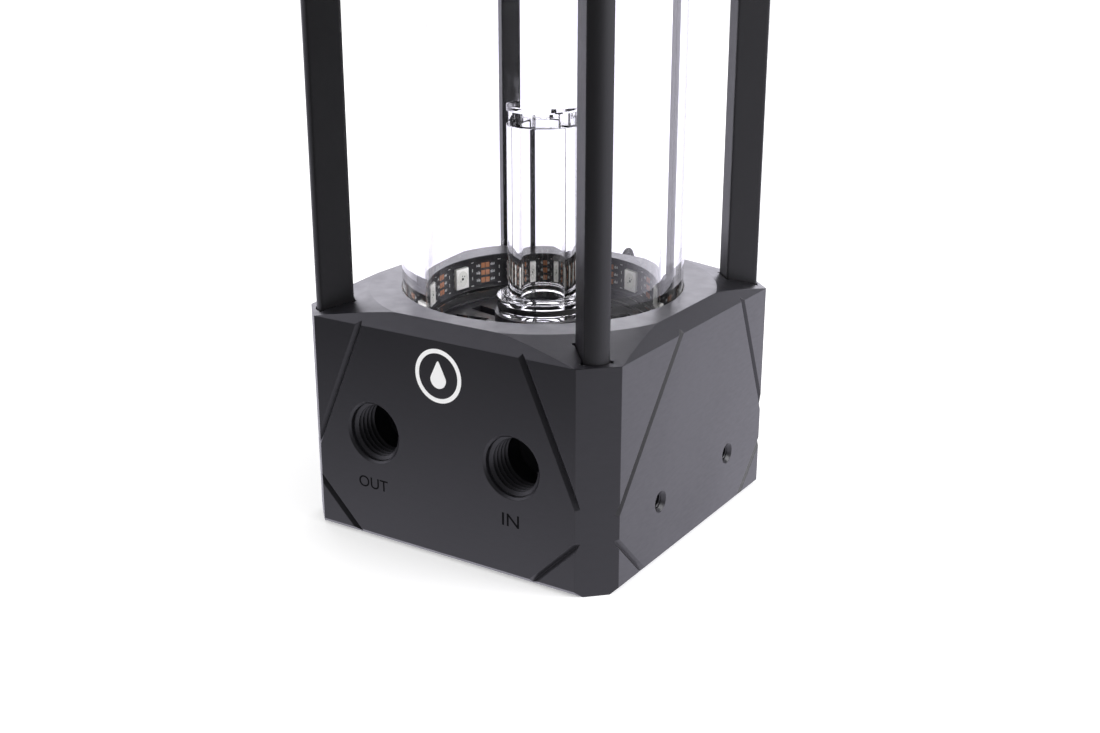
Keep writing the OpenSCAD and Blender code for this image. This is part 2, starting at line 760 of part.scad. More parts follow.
module tie_rod(n) {
    c = rod_corners[n - 1];
    color("#141415") translate([c[0] * rod_at, c[1] * rod_at, rod_foot_z]) rotate(atan2(c[1], c[0])) difference() {
        rod_bar(rod_top_z - rod_foot_z);
        translate([0, 0, -over]) cylinder(h = thread_depth + over, r = screw_d / 2);
        translate([0, 0, rod_top_z - rod_foot_z - thread_depth])
            cylinder(h = thread_depth + over, r = screw_d / 2);
    }
}

// Socket head screw along +Z, head at z = 0 downwards
module rod_screw(length) {
    difference() {
        union() {
            translate([0, 0, -screw_head_h]) cylinder(h = screw_head_h, r = screw_head_d / 2);
            translate([0, 0, -1]) cylinder(h = length + 1, r = screw_d / 2 - 0.05);
        }
        translate([0, 0, -screw_head_h - over]) cylinder(h = 1.6 + over, r = screw_hex_r, $fn = 6);
    }
}

module rod_screws_lower() {
    color("#2b2b2e") at_rods() translate([0, 0, screw_sink + 1])
        rod_screw(rod_foot_z + screw_grip - screw_sink - 1);
}

module rod_screws_upper() {
    color("#2b2b2e") at_rods() translate([0, 0, cap_top_z - screw_sink]) mirror([0, 0, 1])
        rod_screw(cap_top_z - screw_sink - rod_top_z + screw_grip);
}

// ---------------------------------------------------------------- light

module led_strip() {
    color("#121214") translate([0, 0, strip_z]) rotate(led_first - led_step / 2)
        rotate_extrude(angle = strip_sweep)
            translate([strip_in_r, 0]) square([strip_t, strip_w]);
}

module led_chips() {
    color("#f1efe8") for (i = [0 : leds - 1]) rotate(led_first + i * led_step)
        translate([led_face_r, -led_side / 2, strip_z + (strip_w - led_side) / 2])
            cube([led_t, led_side, led_side]);
}

module led_lead() {
    color("#18181a") translate([0, block_w / 2, 0]) sweep(spline(lead_bends, 3), lead_d, 8);
}

module led_lead_coil() {
    color("#18181a") translate([coil_c[0], coil_c[1], coil_bottom_z - coil_turn_r])
        rotate_extrude() translate([coil_mean_r - 2 * coil_turn_r, 0])
            square([4 * coil_turn_r, 4 * coil_turn_r]);
}

module led_lead_tail() {
    color("#18181a") translate([0, block_w / 2, 0]) sweep(spline(tail_bends, 2), lead_d, 8);
}

// Three pin plug on the end of the LED lead
module led_plug() {
    color("#1c1c1e") translate([plug_at[0], plug_at[1], 0.1]) difference() {
        translate([-plug_size[0] / 2, -plug_size[1], 0]) cube(plug_size);
        for (i = [0, 1, 3]) translate([-3.81 + 2.54 * i - 0.4, -plug_size[1] - over, plug_size[2] / 2 - 0.4])
            cube([0.8, 6 + over, 0.8]);
    }
}

// ---------------------------------------------------------------- plugs of the cap

module stop_plug(side) {
    color("#1b1b1d") translate([side * cap_port_x, 0, cap_top_z]) difference() {
        union() {
            translate([0, 0, 0.7]) cylinder(h = plug_head_h - 0.6, r = plug_head_d / 2);
            translate([0, 0, 0.7]) cylinder(h = plug_head_h, r = plug_head_d / 2 - 0.6);
            translate([0, 0, -plug_shank_l]) cylinder(h = plug_shank_l + plug_ring_space, r = port_r - plug_gap);
        }
        ring(port_r - plug_gap, plug_head_d / 2 - 0.6, 0, plug_ring_space);
        translate([0, 0, plug_head_h - plug_hex_depth])
            cylinder(h = plug_hex_depth + over, r = plug_hex_r, $fn = 6);
    }
}

module plug_o_ring(side) {
    in_r = port_r - plug_gap;
    out_r = plug_head_d / 2 - 0.6;
    color("#0c0c0d") translate([side * cap_port_x, 0, cap_top_z + plug_ring_space / 2])
        rotate_extrude() translate([(in_r + out_r) / 2, 0]) circle((out_r - in_r) / 2 - play);
}

module stop_plug_left() {
    stop_plug(-1);
}

module stop_plug_right() {
    stop_plug(1);
}

module plug_o_ring_left() {
    plug_o_ring(-1);
}

module plug_o_ring_right() {
    plug_o_ring(1);
}

// ---------------------------------------------------------------- nodes

base_block();
bottom_cover();
cover_screws();
cable_grommet();
stator_sleeve();
stator_core();
stator_coils();
control_board();
motor_can();
motor_can_o_ring();
rotor_shaft();
shaft_cap();
rotor_magnet();
rotor_bush();
impeller();
flow_guide();
riser_pipe();
riser_cap();
riser_o_ring();
lower_gasket();
reservoir_tube();
upper_gasket();
top_cap();
tie_rod(1);  // tie_rod_1
tie_rod(2);  // tie_rod_2
tie_rod(3);  // tie_rod_3
tie_rod(4);  // tie_rod_4
rod_screws_lower();
rod_screws_upper();
led_strip();
led_chips();
led_lead();
led_lead_coil();
led_lead_tail();
led_plug();
stop_plug_left();
plug_o_ring_left();
stop_plug_right();
plug_o_ring_right();
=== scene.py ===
# %% [markdown]
# # A coolant reservoir with its pump
#
# A square black block holds a pump. A clear tube of coolant stands on it between four
# tie rods, under a matching cap. A ring of LEDs shines into the foot of the tube, and a
# clear riser pipe returns the coolant in its middle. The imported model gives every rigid
# piece, so this lesson adds what a machinist's drawing leaves out: finishes, clear
# plastic, threads, print and light.

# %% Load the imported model
import math

import bmesh
import bpy
from mathutils import Matrix, Vector


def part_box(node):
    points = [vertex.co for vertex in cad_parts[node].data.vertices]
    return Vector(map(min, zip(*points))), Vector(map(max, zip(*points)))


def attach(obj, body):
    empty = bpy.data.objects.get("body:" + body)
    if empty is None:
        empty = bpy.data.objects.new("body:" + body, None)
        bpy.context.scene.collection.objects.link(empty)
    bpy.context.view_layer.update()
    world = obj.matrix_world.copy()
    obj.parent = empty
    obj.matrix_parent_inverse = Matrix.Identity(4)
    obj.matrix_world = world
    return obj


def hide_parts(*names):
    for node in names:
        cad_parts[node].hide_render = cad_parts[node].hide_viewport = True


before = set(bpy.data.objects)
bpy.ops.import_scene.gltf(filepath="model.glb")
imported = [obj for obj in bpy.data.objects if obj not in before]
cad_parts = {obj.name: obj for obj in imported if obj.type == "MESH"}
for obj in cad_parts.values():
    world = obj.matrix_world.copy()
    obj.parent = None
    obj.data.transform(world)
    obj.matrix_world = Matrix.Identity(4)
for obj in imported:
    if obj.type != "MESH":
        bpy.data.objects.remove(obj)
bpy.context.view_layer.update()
MM = 0.001
BODY = "reservoir"
print("nodes:", len(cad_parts))

# %% [markdown]
# ## The camera
#
# The view looks down a little on the corner between the port face and the side face. A
# camera looks along its own -Z, so its matrix is written from three directions: right,
# up and backwards. That is clearer than turning it by Euler angles.

# %% Camera
CAMERA_AT = Vector((170.309, -263.227, 139.675)) * MM
YAW, PITCH, ROLL = -0.56919, -0.32964, 0.00087
FOCAL_MM = 46.874

ahead = Vector((math.sin(YAW) * math.cos(PITCH), math.cos(YAW) * math.cos(PITCH),
                math.sin(PITCH)))
level = Vector((math.cos(YAW), -math.sin(YAW), 0))
above = level.cross(ahead)
right = level * math.cos(ROLL) + above * math.sin(ROLL)
up = above * math.cos(ROLL) - level * math.sin(ROLL)

lens = bpy.data.cameras.new("studio_camera")
lens.sensor_width = 36
lens.lens = FOCAL_MM
lens.clip_start = 0.01
camera = bpy.data.objects.new("studio_camera", lens)
camera.matrix_world = Matrix((
    (right.x, up.x, -ahead.x, CAMERA_AT.x),
    (right.y, up.y, -ahead.y, CAMERA_AT.y),
    (right.z, up.z, -ahead.z, CAMERA_AT.z),
    (0, 0, 0, 1),
))
bpy.context.scene.collection.objects.link(camera)
bpy.context.scene.camera = camera
print("camera", [round(c, 3) for c in CAMERA_AT], "lens", lens.lens)

# %% [markdown]
# ## Turning a bmesh into a piece
#
# Every piece that is made here goes through one helper: it writes the bmesh to a mesh,
# smooths the faces but keeps edges over a chosen angle sharp, gives it its material and
# lets it ride on a body of the model.


# %% Helper for pieces
def make_piece(name, bm, material, body=BODY, sharp=35):
    bmesh.ops.remove_doubles(bm, verts=bm.verts, dist=1e-7)
    mesh = bpy.data.meshes.new(name)
    bm.to_mesh(mesh)
    bm.free()
    for face in mesh.polygons:
        face.use_smooth = True
    mesh.set_sharp_from_angle(angle=math.radians(sharp))
    piece = bpy.data.objects.new(name, mesh)
    bpy.context.scene.collection.objects.link(piece)
    mesh.materials.append(material)
    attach(piece, body)
    return piece


# %% [markdown]
# ## Finishes
#
# Most of the object is machined plastic and anodised metal, so one recipe serves them:
# a Principled shader whose roughness wanders a little with noise, whose colour does the
# same, and a faint bump in the direction that the cutter went. Object coordinates are in
# metres, so a noise of scale 1000 has grains of about a millimetre. Where an edge radius
# is given, a Bevel node softens how the light turns over the sharp edges.


# %% Helper for solid finishes
BROAD_GRAIN = 40
RELIEF_DEPTH = 0.2 * MM
# The fine and the broad noise added together stay mostly between these two
NOISE_SUM = (0.6, 1.4)


def finish(name, colour, rough, metal=0.0, grain=900, stretch=(1, 1, 1), bump=0.04,
           wander=0.06, tint=0.15, ior=1.5, edge=0.0):
    mat = bpy.data.materials.new(name)
    mat.use_nodes = True
    nodes, links = mat.node_tree.nodes, mat.node_tree.links
    shader = nodes["Principled BSDF"]
    shader.inputs["Metallic"].default_value = metal
    shader.inputs["IOR"].default_value = ior
    where = nodes.new("ShaderNodeTexCoord")
    scale = nodes.new("ShaderNodeMapping")
    scale.inputs["Scale"].default_value = stretch
    links.new(where.outputs["Object"], scale.inputs["Vector"])
    fine = nodes.new("ShaderNodeTexNoise")
    fine.inputs["Scale"].default_value = grain
    fine.inputs["Detail"].default_value = 3
    links.new(scale.outputs["Vector"], fine.inputs["Vector"])
    broad = nodes.new("ShaderNodeTexNoise")
    broad.inputs["Scale"].default_value = BROAD_GRAIN
    broad.inputs["Detail"].default_value = 2
    links.new(where.outputs["Object"], broad.inputs["Vector"])
    both = nodes.new("ShaderNodeMath")
    both.operation = "ADD"
    links.new(fine.outputs["Fac"], both.inputs[0])
    links.new(broad.outputs["Fac"], both.inputs[1])
    gloss = nodes.new("ShaderNodeMapRange")
    gloss.inputs["From Min"].default_value, gloss.inputs["From Max"].default_value = NOISE_SUM
    gloss.inputs["To Min"].default_value = max(0.02, rough - wander)
    gloss.inputs["To Max"].default_value = rough + wander
    links.new(both.outputs["Value"], gloss.inputs["Value"])
    links.new(gloss.outputs["Result"], shader.inputs["Roughness"])
    shade = nodes.new("ShaderNodeMix")
    shade.data_type = "RGBA"
    shade.inputs["A"].default_value = (*[c * (1 - tint) for c in colour], 1)
    shade.inputs["B"].default_value = (*[c * (1 + tint) for c in colour], 1)
    links.new(broad.outputs["Fac"], shade.inputs["Factor"])
    links.new(shade.outputs["Result"], shader.inputs["Base Color"])
    relief = nodes.new("ShaderNodeBump")
    relief.inputs["Strength"].default_value = bump
    relief.inputs["Distance"].default_value = RELIEF_DEPTH
    links.new(fine.outputs["Fac"], relief.inputs["Height"])
    if edge:
        rounding = nodes.new("ShaderNodeBevel")
        rounding.samples = 4
        rounding.inputs["Radius"].default_value = edge
        links.new(rounding.outputs["Normal"], relief.inputs["Normal"])
    links.new(relief.outputs["Normal"], shader.inputs["Normal"])
    return mat


# %% [markdown]
# ## Clear acrylic
#
# Clear plastic is a Principled shader with full transmission. Lamps can't shine through
# refracting glass directly, so shadow rays and diffuse rays pass a Transparent shader
# instead. Without that the LEDs behind the wall would stand in the dark.


# %% Helper for clear plastic
def clear_plastic(name, ior):
    mat = bpy.data.materials.new(name)
    mat.use_nodes = True
    nodes, links = mat.node_tree.nodes, mat.node_tree.links
    shader = nodes["Principled BSDF"]
    shader.inputs["Base Color"].default_value = (1, 1, 1, 1)
    shader.inputs["Roughness"].default_value = 0.0
    shader.inputs["IOR"].default_value = ior
    shader.inputs["Transmission Weight"].default_value = 1.0
    passing = nodes.new("ShaderNodeBsdfTransparent")
    rays = nodes.new("ShaderNodeLightPath")
    either = nodes.new("ShaderNodeMath")
    either.operation = "MAXIMUM"
    links.new(rays.outputs["Is Shadow Ray"], either.inputs[0])
    links.new(rays.outputs["Is Diffuse Ray"], either.inputs[1])
    mix = nodes.new("ShaderNodeMixShader")
    links.new(either.outputs["Value"], mix.inputs["Fac"])
    links.new(shader.outputs["BSDF"], mix.inputs[1])
    links.new(passing.outputs["BSDF"], mix.inputs[2])
    links.new(mix.outputs["Shader"], nodes["Material Output"].inputs["Surface"])
    return mat


# %% The finishes of this object
ACETAL = finish("black_acetal", (0.0095, 0.0093, 0.0115), 0.36, grain=1400, bump=0.05,
                stretch=(0.25, 0.25, 1), edge=0.00022)
ROD_BLACK = finish("black_anodised", (0.0085, 0.0084, 0.0095), 0.45, grain=2600, bump=0.05,
                   ior=1.45, stretch=(1, 1, 0.2), edge=0.0009)
SCREW_BLACK = finish("black_steel", (0.03, 0.03, 0.032), 0.38, metal=0.6, grain=2000)
RUBBER = finish("black_rubber", (0.008, 0.008, 0.008), 0.55, grain=1500, bump=0.1)
SLEEVE = finish("sleeve_aluminium", (0.62, 0.62, 0.64), 0.35, metal=1.0, stretch=(1, 1, 4))
STEEL = finish("electrical_steel", (0.42, 0.43, 0.45), 0.35, metal=1.0, stretch=(1, 1, 8))
COPPER_WIRE = finish("copper_wire", (0.72, 0.33, 0.14), 0.3, metal=0.9, stretch=(6, 6, 1),
                     bump=0.4)
BOARD = finish("green_board", (0.02, 0.13, 0.06), 0.35)
CAN = finish("can_plastic", (0.62, 0.61, 0.56), 0.3)
CERAMIC = finish("ceramic", (0.8, 0.78, 0.72), 0.15)
FERRITE = finish("ferrite", (0.06, 0.06, 0.065), 0.5)
BUSH = finish("carbon_bush", (0.07, 0.06, 0.05), 0.45)
IMPELLER = finish("impeller_plastic", (0.78, 0.78, 0.75), 0.35)
FLEX = finish("flex_board", (0.012, 0.012, 0.014), 0.4, bump=0.03)
LED_WHITE = finish("led_housing", (0.97, 0.96, 0.94), 0.35, tint=0.02, bump=0.02)
LED_RESIN = finish("led_resin", (0.84, 0.84, 0.8), 0.18, tint=0.06, bump=0.02)
LED_DIE = finish("led_die", (0.02, 0.02, 0.02), 0.3)
COPPER_PAD = finish("copper_pad", (0.55, 0.22, 0.10), 0.38, metal=0.55, tint=0.2)
SOLDER = finish("solder", (0.72, 0.72, 0.72), 0.25, metal=0.9)
PRINT = finish("white_print", (0.94, 0.94, 0.94), 0.5, tint=0.02, bump=0.02)
# Painted shade: a near-black finish for the letters, in place of the shade inside engraved
# grooves
ENGRAVING_SHADE = finish("painted_engraving_shade", (0.0015, 0.0015, 0.0018), 0.75, tint=0.05, ior=1.2)
WIRE = finish("wire_sleeve", (0.012, 0.012, 0.013), 0.42, bump=0.03)
NYLON = finish("connector_nylon", (0.016, 0.016, 0.018), 0.4)
GOLD_PIN = finish("contact_metal", (0.78, 0.6, 0.28), 0.25, metal=1.0)
CLEAR = clear_plastic("clear_acrylic", ior=1.49)
print("materials:", len(bpy.data.materials))

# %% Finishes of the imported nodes
NODE_FINISH = {
    ACETAL: ["base_block", "bottom_cover", "flow_guide", "top_cap", "stop_plug_left",
             "stop_plug_right"],
    ROD_BLACK: ["tie_rod_1", "tie_rod_2", "tie_rod_3", "tie_rod_4"],
    SCREW_BLACK: ["cover_screws", "rod_screws_lower", "rod_screws_upper"],
    RUBBER: ["cable_grommet", "motor_can_o_ring", "riser_o_ring", "lower_gasket",
             "upper_gasket", "plug_o_ring_left", "plug_o_ring_right"],
    SLEEVE: ["stator_sleeve"],
    STEEL: ["stator_core"],
    COPPER_WIRE: ["stator_coils"],
    BOARD: ["control_board"],
    CAN: ["motor_can"],
    CERAMIC: ["rotor_shaft", "shaft_cap"],
    FERRITE: ["rotor_magnet"],
    BUSH: ["rotor_bush"],
    IMPELLER: ["impeller"],
    CLEAR: ["riser_pipe", "riser_cap", "reservoir_tube"],
    FLEX: ["led_strip"],
    LED_WHITE: ["led_chips"],
    WIRE: ["led_lead", "led_lead_coil", "led_lead_tail"],
    NYLON: ["led_plug"],
}
for material, names in NODE_FINISH.items():
    for name in names:
        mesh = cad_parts[name].data
        mesh.materials.clear()
        mesh.materials.append(material)

# %% [markdown]
# ## The LED lead
#
# Three thin wires are twisted together and leave through a small hole in the rear facet.
# They bend over, run down the back of the block and end in a coil on the floor. First comes the
# centreline: listed points joined by a smooth curve, then the turns of the coil, which lie two
# wide and two high, and last the short tail up to the plug.

# %% Centreline of the lead
LEAD_ROUTE = [
    (4, 35.1, 49.32), (4, 36.8, 50.18), (4, 38.4, 51.0), (4, 39.9, 51.55), (4, 41.35, 51.71),
    (4, 44.1, 51.1), (4, 46.33, 49.39), (4, 47.63, 46.89), (4, 48.1, 43.6), (3.8, 48.2, 38),
    (3.5, 48.2, 31), (3.2, 48.2, 24), (2.9, 48.2, 18), (2.6, 48.4, 12.6), (2.4, 49.4, 8.0),
    (2.2, 51.6, 4.4), (2.1, 54.8, 2.3), (2, 58.4, 1.5), (2, 62, 1.5),
]
TAIL_ROUTE = [
    (-15.4, 77.6, 1.5), (-17.9, 77.1, 1.5), (-20, 75.7, 1.5), (-21.4, 73.6, 1.5),
    (-21.9, 71.1, 1.5), (-21.9, 69.45, 1.5),
]
COIL_AT = (-15.4, 63.0)
COIL_R = 16.0
# Half the width of the twisted bundle, and the height of its middle over the floor
WIRE_OUT = 1.4
LEAD_LOW = 1.5


def smooth_route(points, steps):
    """Points along a Catmull-Rom curve through points, in millimetres."""
    p = [Vector(q) for q in points]
    out = []
    for i in range(len(p) - 1):
        a, b, c, d = p[max(i - 1, 0)], p[i], p[i + 1], p[min(i + 2, len(p) - 1)]
        for s in range(steps):
            t = s / steps
            out.append(0.5 * (2 * b + (c - a) * t + (2 * a - 5 * b + 4 * c - d) * t * t
                              + (3 * b - a - 3 * c + d) * t ** 3))
    return out + [p[-1]]


# Slots of the coil's section, out from the middle and up, in half widths of the bundle.
# Between two slots the lead moves over while the coil turns through these degrees.
SLOTS = [(1, 0), (1, 2), (-1, 2), (-1, 0)]
MOVES = [(320, 352), (635, 667), (950, 982)]
LAST_TURN = 1170


def coil_point(angle):
    """Where the lead is after turning by angle, in degrees, round the coil."""
    out, high = SLOTS[0]
    for (start, end), (next_out, next_high) in zip(MOVES, SLOTS[1:]):
        t = min(max((angle - start) / (end - start), 0), 1)
        t = (1 - math.cos(math.pi * t)) / 2
        out, high = out + (next_out - out) * t, high + (next_high - high) * t
    r = COIL_R + out * WIRE_OUT
    a = math.radians(angle)
    return Vector((COIL_AT[0] + r * math.cos(a), COIL_AT[1] + r * math.sin(a),
                   LEAD_LOW + high * WIRE_OUT))


lead_line = smooth_route(LEAD_ROUTE, 6)
lead_line += [coil_point(a) for a in range(5, LAST_TURN, 5)]
lead_line += smooth_route(TAIL_ROUTE, 6)

# %% [markdown]
# A twisted lead is three thin wires that wind round the centreline. A frame is carried
# along the line without twisting, a circle is set across each wire at every step, each
# circle is joined to the next by a band of faces, and the ends are capped.


# %% Three twisted wires
def carried_frames(line):
    """Tangent, side and up along a line, turned as little as possible from point to point."""
    tangents = [(line[min(i + 1, len(line) - 1)] - line[max(i - 1, 0)]).normalized()
                for i in range(len(line))]
    side = tangents[0].orthogonal().normalized()
    frames = []
    for t in tangents:
        side = (side - t * side.dot(t)).normalized()
        frames.append((t, side, t.cross(side)))
    return frames


def add_wire(bm, line, frames, radius, offset, phase, pitch, sides=8):
    """A round wire of that radius that winds round line at offset, once every pitch."""
    loops, run = [], 0.0
    for i, (point, (t, side, over)) in enumerate(zip(line, frames)):
        if i:
            run += (point - line[i - 1]).length
        a = phase + 2 * math.pi * run / pitch
        out = side * math.cos(a) + over * math.sin(a)
        across = t.cross(out)
        ring = bmesh.ops.create_circle(bm, segments=sides, radius=radius)["verts"]
        place = Matrix((
            (out.x, across.x, t.x, (point + out * offset).x),
            (out.y, across.y, t.y, (point + out * offset).y),
            (out.z, across.z, t.z, (point + out * offset).z),
            (0, 0, 0, 1),
        ))
        bmesh.ops.transform(bm, matrix=place, verts=ring)
        loops.append(ring)
    for a, b in zip(loops, loops[1:]):
        for k in range(sides):
            bm.faces.new((a[k], a[(k + 1) % sides], b[(k + 1) % sides], b[k]))
    bm.faces.new(list(reversed(loops[0])))
    bm.faces.new(loops[-1])


WIRES, WIRE_R, WIRE_OFFSET, TWIST_PITCH = 3, 0.68, 0.72, 13
bm = bmesh.new()
frames = carried_frames(lead_line)
for k in range(WIRES):
    add_wire(bm, lead_line, frames, WIRE_R, WIRE_OFFSET, 2 * math.pi * k / WIRES, TWIST_PITCH)
bmesh.ops.scale(bm, vec=(MM, MM, MM), verts=bm.verts)
bmesh.ops.recalc_face_normals(bm, faces=bm.faces)
lead = make_piece("led_lead_wires", bm, WIRE, sharp=60)
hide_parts("led_lead", "led_lead_coil", "led_lead_tail")


# %% [markdown]
# The coil is held by a small tie, and the plug has three metal contacts in its mouth.


# %% Tie of the coil and contacts of the plug
def add_box(bm, size, at, turn=0.0, bevel=0.0):
    """A box of that size centred at a point, turned about Z, with bevelled edges."""
    new = bmesh.ops.create_cube(bm, size=1)["verts"]
    bmesh.ops.scale(bm, vec=size, verts=new)
    if bevel:
        edges = list({e for v in new for e in v.link_edges})
        new = bmesh.ops.bevel(bm, geom=edges, offset=bevel, offset_type="OFFSET", segments=2,
                              profile=0.5, affect="EDGES", material=-1)["verts"]
    bmesh.ops.rotate(bm, cent=(0, 0, 0), matrix=Matrix.Rotation(turn, 3, "Z"), verts=new)
    bmesh.ops.translate(bm, vec=at, verts=new)
    return new


TIE_ANGLE, TIE_WIDTH = math.radians(300), 2.4
bm = bmesh.new()
bundle, wrap = 4 * WIRE_OUT, 0.35
# The tie's top, underside and two sides, and the lock on top of it
for across, high, dx, dz in (
    (bundle + 2 * wrap, wrap, 0, bundle / 2 + wrap / 2),
    (bundle + 2 * wrap, 0.09, 0, -bundle / 2 - 0.05),
    (wrap, bundle, bundle / 2 + wrap / 2, 0),
    (wrap, bundle, -bundle / 2 - wrap / 2, 0),
    (1.6, 1.4, 0, bundle / 2 + 0.6),
):
    add_box(bm, (across, TIE_WIDTH, high), (dx, 0, dz))
bmesh.ops.translate(bm, vec=(COIL_R, 0, LEAD_LOW + WIRE_OUT), verts=bm.verts)
bmesh.ops.rotate(bm, cent=(0, 0, 0), matrix=Matrix.Rotation(TIE_ANGLE, 3, "Z"), verts=bm.verts)
bmesh.ops.translate(bm, vec=(*COIL_AT, 0), verts=bm.verts)
bmesh.ops.scale(bm, vec=(MM, MM, MM), verts=bm.verts)
lead_tie = make_piece("led_lead_tie", bm, NYLON)

# The plug has four places at a spacing of 2.54, and the third is blind
plug_low, plug_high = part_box("led_plug")
plug_mid = [(a + b) / 2 / MM for a, b in zip(plug_low, plug_high)]
CONTACT_STEP = 2.54
bm = bmesh.new()
for k in (0, 1, 3):
    add_box(bm, (0.5, 3.5, 0.5), (plug_mid[0] + CONTACT_STEP * (k - 1.5),
                                  plug_low[1] / MM + 3.4, plug_mid[2]))
bmesh.ops.scale(bm, vec=(MM, MM, MM), verts=bm.verts)
contacts = make_piece("led_plug_contacts", bm, GOLD_PIN)

# %% [markdown]
# ## Clear tube, riser and its lid
#
# Refraction shows every flat of a coarse mesh, so the clear pieces are turned afresh
# with many steps: an outline of the wall is spun round the axis, and the full turn is
# merged. The corners of the outline get a small bevel, which catches the light as the
# polished edge of a real tube does.


# %% Helper for turned pieces
def turned(outline, steps, bevel=0.0):
    """A closed (radius, height) outline in millimetres, spun round a vertical axis."""
    bm = bmesh.new()
    ring = [bm.verts.new((r, 0, z)) for r, z in outline]
    edges = [bm.edges.new((ring[i], ring[(i + 1) % len(ring)])) for i in range(len(ring))]
    if bevel:
        bmesh.ops.bevel(bm, geom=ring, offset=bevel, offset_type="OFFSET", segments=2,
                        profile=0.5, affect="VERTICES", material=-1)
    bmesh.ops.spin(bm, geom=bm.verts[:] + bm.edges[:], cent=(0, 0, 0), axis=(0, 0, 1),
                   dvec=(0, 0, 0), angle=2 * math.pi, steps=steps, use_merge=True,
                   use_duplicate=False)
    bmesh.ops.remove_doubles(bm, verts=bm.verts, dist=1e-5)
    bmesh.ops.scale(bm, vec=(MM, MM, MM), verts=bm.verts)
    bmesh.ops.recalc_face_normals(bm, faces=bm.faces)
    return bm


# %% The clear tube
tube_low, tube_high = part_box("reservoir_tube")
TUBE_R = tube_high[0] / MM
TUBE_WALL = 5.0
TUBE_FOOT, TUBE_TOP = tube_low[2] / MM, tube_high[2] / MM
bm = turned([(TUBE_R - TUBE_WALL, TUBE_FOOT), (TUBE_R, TUBE_FOOT), (TUBE_R, TUBE_TOP),
             (TUBE_R - TUBE_WALL, TUBE_TOP)], steps=256, bevel=0.3)
tube = make_piece("clear_tube", bm, CLEAR, sharp=15)
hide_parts("reservoir_tube")
print("tube radius", round(TUBE_R, 2), "from", TUBE_FOOT, "to", TUBE_TOP)

# %% The riser pipe
riser_low, riser_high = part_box("riser_pipe")
RISER_FOOT = riser_low[2] / MM
SEAT = RISER_FOOT + 4.65
FLANGE = SEAT + 2.5
PIPE = FLANGE + 1.9
RISER_TOP = riser_high[2] / MM
FLANGE_R, PIPE_R, PIPE_BORE, SPIGOT_R = 10.5, 8.0, 5.0, 6.48
WINDOW_H, WINDOW_HALF_W = 3.0, 4.0
bm = turned([
    (PIPE_BORE, RISER_FOOT), (SPIGOT_R, RISER_FOOT), (SPIGOT_R, SEAT),
    (FLANGE_R - 0.2, SEAT), (FLANGE_R - 0.2, SEAT + 1.2), (FLANGE_R - 1.9, SEAT + 1.2),
    (FLANGE_R - 1.9, FLANGE), (FLANGE_R, FLANGE), (FLANGE_R, PIPE - 0.7),
    (FLANGE_R - 1.2, PIPE - 0.7), (FLANGE_R - 1.2, PIPE), (PIPE_R, PIPE),
    (PIPE_R, RISER_TOP - WINDOW_H), (PIPE_BORE, RISER_TOP - WINDOW_H),
], steps=128, bevel=0.15)
riser = make_piece("clear_riser", bm, CLEAR, sharp=15)
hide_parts("riser_pipe")


# %% [markdown]
# The riser's top is cut into four short posts, with windows between them where the
# coolant leaves. Each post is a piece of the same wall, spun through part of a turn.


# %% Posts between the windows
def wall_arc(bm, r_in, r_out, low, high, sweep, steps):
    """The vertices of a closed block of wall, through that sweep from the X axis."""
    before = set(bm.verts)
    corners = [(r_in, low), (r_out, low), (r_out, high), (r_in, high)]
    face = bm.faces.new([bm.verts.new((r, 0, z)) for r, z in corners])
    bmesh.ops.spin(bm, geom=[face] + face.edges[:] + face.verts[:], cent=(0, 0, 0),
                   axis=(0, 0, 1), dvec=(0, 0, 0), angle=sweep, steps=steps,
                   use_merge=False, use_duplicate=False)
    return [v for v in bm.verts if v not in before]


WINDOWS = 4
quarter = 2 * math.pi / WINDOWS
window_half = math.asin(WINDOW_HALF_W / PIPE_R)
bm = bmesh.new()
for k in range(WINDOWS):
    post = wall_arc(bm, PIPE_BORE, PIPE_R, RISER_TOP - WINDOW_H, RISER_TOP,
                    quarter - 2 * window_half, 10)
    bmesh.ops.rotate(bm, cent=(0, 0, 0), verts=post,
                     matrix=Matrix.Rotation((k + 0.5) * quarter + window_half, 3, "Z"))
bmesh.ops.scale(bm, vec=(MM, MM, MM), verts=bm.verts)
bmesh.ops.recalc_face_normals(bm, faces=bm.faces)
make_piece("riser_posts", bm, CLEAR)

# %% The riser's lid
lid_low, lid_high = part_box("riser_cap")
LID_TOP = lid_high[2] / MM
LID_FOOT, LID_RIM = LID_TOP - 2.4, LID_TOP - 1.18
DIMPLE_R, DIMPLE_Z = 0.8, LID_TOP - 0.5
bm = turned([(0.0, LID_FOOT), (PIPE_BORE - 0.1, LID_FOOT), (PIPE_BORE - 0.1, LID_RIM),
             (PIPE_R, LID_RIM), (PIPE_R, LID_TOP), (DIMPLE_R, LID_TOP), (DIMPLE_R, DIMPLE_Z),
             (0.0, DIMPLE_Z)], steps=128)
lid = make_piece("riser_lid", bm, CLEAR, sharp=15)
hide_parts("riser_cap")

# %% [markdown]
# ## Port threads
#
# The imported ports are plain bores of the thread's outer size. The ridges are one long
# helical rib in each bore: a small wedge is spun about the port's axis, and the spin's
# dvec moves it along by a little at every step, which is how bmesh makes a screw.


